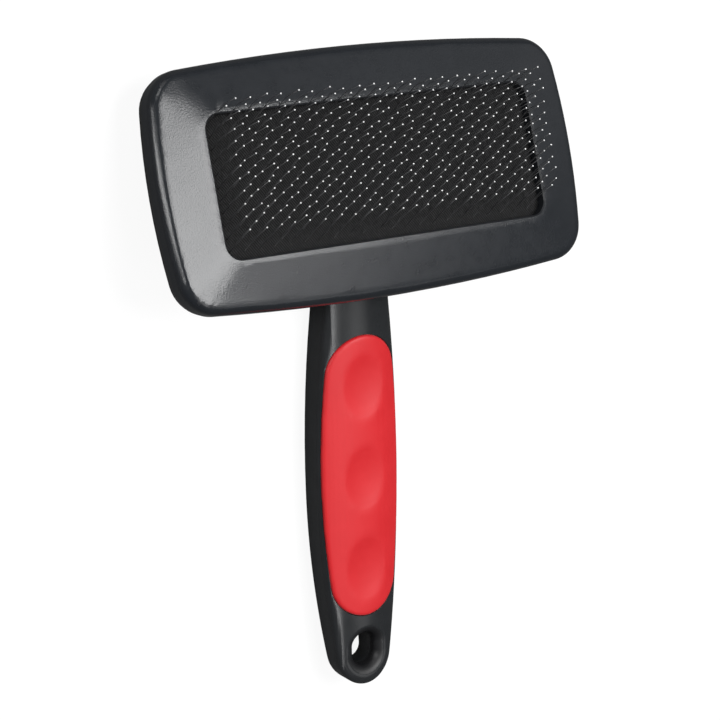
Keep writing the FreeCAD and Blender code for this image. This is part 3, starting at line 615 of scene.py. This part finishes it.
def make_camera():
    """A camera above and to the left of the head's face."""
    data = bpy.data.cameras.new("camera")
    data.lens = 105
    data.sensor_width = 36
    data.clip_start = 0.01
    camera = add_object("camera", data)
    forward = CAMERA_FORWARD.normalized()
    right = forward.cross(CAMERA_UP).normalized()
    up = right.cross(forward)
    turn = Matrix((right, up, -forward)).transposed().to_4x4()
    camera.matrix_world = HEAD @ Matrix.Translation(CAMERA_PLACE) @ turn
    bpy.context.scene.camera = camera


def make_lamp(name, place, aim, size, watts):
    """A soft rectangular lamp at a place, turned towards another; size is its two sides."""
    data = bpy.data.lights.new(name, "AREA")
    data.shape = "RECTANGLE"
    data.size, data.size_y = size
    data.energy = watts
    lamp = add_object(name, data)
    lamp.location = place
    lamp.rotation_euler = (Vector(aim) - Vector(place)).to_track_quat("-Z", "Y").to_euler()


def make_floor():
    """A dim floor that glows white for the camera alone and keeps a soft shadow."""
    bm = bmesh.new()
    bmesh.ops.create_grid(bm, x_segments=1, y_segments=1, size=3.0)
    mesh = mesh_from("floor", bm)
    floor = add_object("floor", mesh)
    floor.location.z = -0.05 * MM
    material, tree, shader = new_material(
        "pale_floor", Base_Color=(*FLOOR_GREY, 1), Roughness=0.9,
        Emission_Color=(*WHITE, 1))
    path = add_node(tree, "LightPath")
    tree.links.new(math_node(tree, "MULTIPLY", path.outputs["Is Camera Ray"], FLOOR_GLOW),
                   shader.inputs["Emission Strength"])
    mesh.materials.append(material)


def make_world():
    """A dim grey room that the camera alone sees as white."""
    world = bpy.data.worlds.new("studio")
    bpy.context.scene.world = world
    world.use_nodes = True
    tree = world.node_tree
    path = add_node(tree, "LightPath")
    colour = mixed_colour(tree, path.outputs["Is Camera Ray"], ROOM_GREY, WHITE)
    tree.links.new(colour, tree.nodes["Background"].inputs["Color"])


skin = make_moulded_skin()
gloss_black = black_plastic(
    "gloss_black", skin, roughness=0.225, grain=0.5, patchiness=0.05, relief=0.07 * MM,
    low=(0.011, 0.0125, 0.015), high=(0.017, 0.019, 0.0225))
# the hole's mouth: rougher, and painted darker than the satin black as painted shade in its
# recess
shaded_mouth_black = black_plastic(
    "shaded_mouth_black", skin, roughness=0.5, grain=0.5, patchiness=0.05, relief=0.018 * MM,
    low=(0.005, 0.005, 0.006), high=(0.008, 0.008, 0.009))
edge_black = black_plastic(
    "edge_black", skin, roughness=0.42, grain=0.5, patchiness=0.05, relief=0.018 * MM,
    low=(0.012, 0.013, 0.015), high=(0.017, 0.018, 0.021))
satin_black = black_plastic(
    "satin_black", skin, roughness=0.22, grain=0.4, patchiness=0.05, relief=0.02 * MM,
    low=(0.014, 0.015, 0.016), high=(0.022, 0.023, 0.025))
board_black = black_plastic(
    "board_black", skin, roughness=0.6, grain=0.8, patchiness=0.1, relief=0.02 * MM,
    low=(0.05, 0.05, 0.052), high=(0.09, 0.09, 0.092))
wire_looks = [drawn_steel(skin), glint_white_tip(skin)]

dress_moulding("front_frame", [gloss_black, edge_black], HEAD_CREASE, soften_hips)
dress_moulding("back_shell", [satin_black], HEAD_CREASE)
dress_moulding("handle_front", [satin_black, shaded_mouth_black], HANDLE_CREASE, ease_handle)
make_soft_grip(red_rubber(skin))
make_foam(cellular_foam())
make_cloth(twill_cloth())
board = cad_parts["backing_board"]
board.data.materials.clear()
board.data.materials.append(board_black)
chance = random.Random(7)
for row in range(ROWS):
    make_pin_row(row, chance, wire_looks)

make_camera()
make_floor()
make_world()
make_lamp("overhead_softbox", (0.16, 0.205, 0.72), (0, 0.05, 0.02), (0.37, 0.43), 5.7)
make_lamp("left_strip", (-0.66, 0.2, 0.34), (0, 0.03, 0.02), (0.11, 0.55), 2.5)
make_lamp("back_strip", (-0.24, 0.75, 0.42), (0, 0.07, 0.02), (0.35, 0.10), 1.0)
make_lamp("handle_strip", (-0.05, -0.25, 0.72), (0, 0, 0.02), (0.05, 0.28), 0.6)
make_lamp("handle_fill", (0.36, -0.27, 0.72), (0, -0.02, 0.02), (0.3, 0.3), 0.3)
make_lamp("right_fill", (0.75, 0.45, 0.62), (0, 0.03, 0.02), (0.5, 0.5), 0.3)
bpy.context.scene.view_settings.view_transform = "Standard"
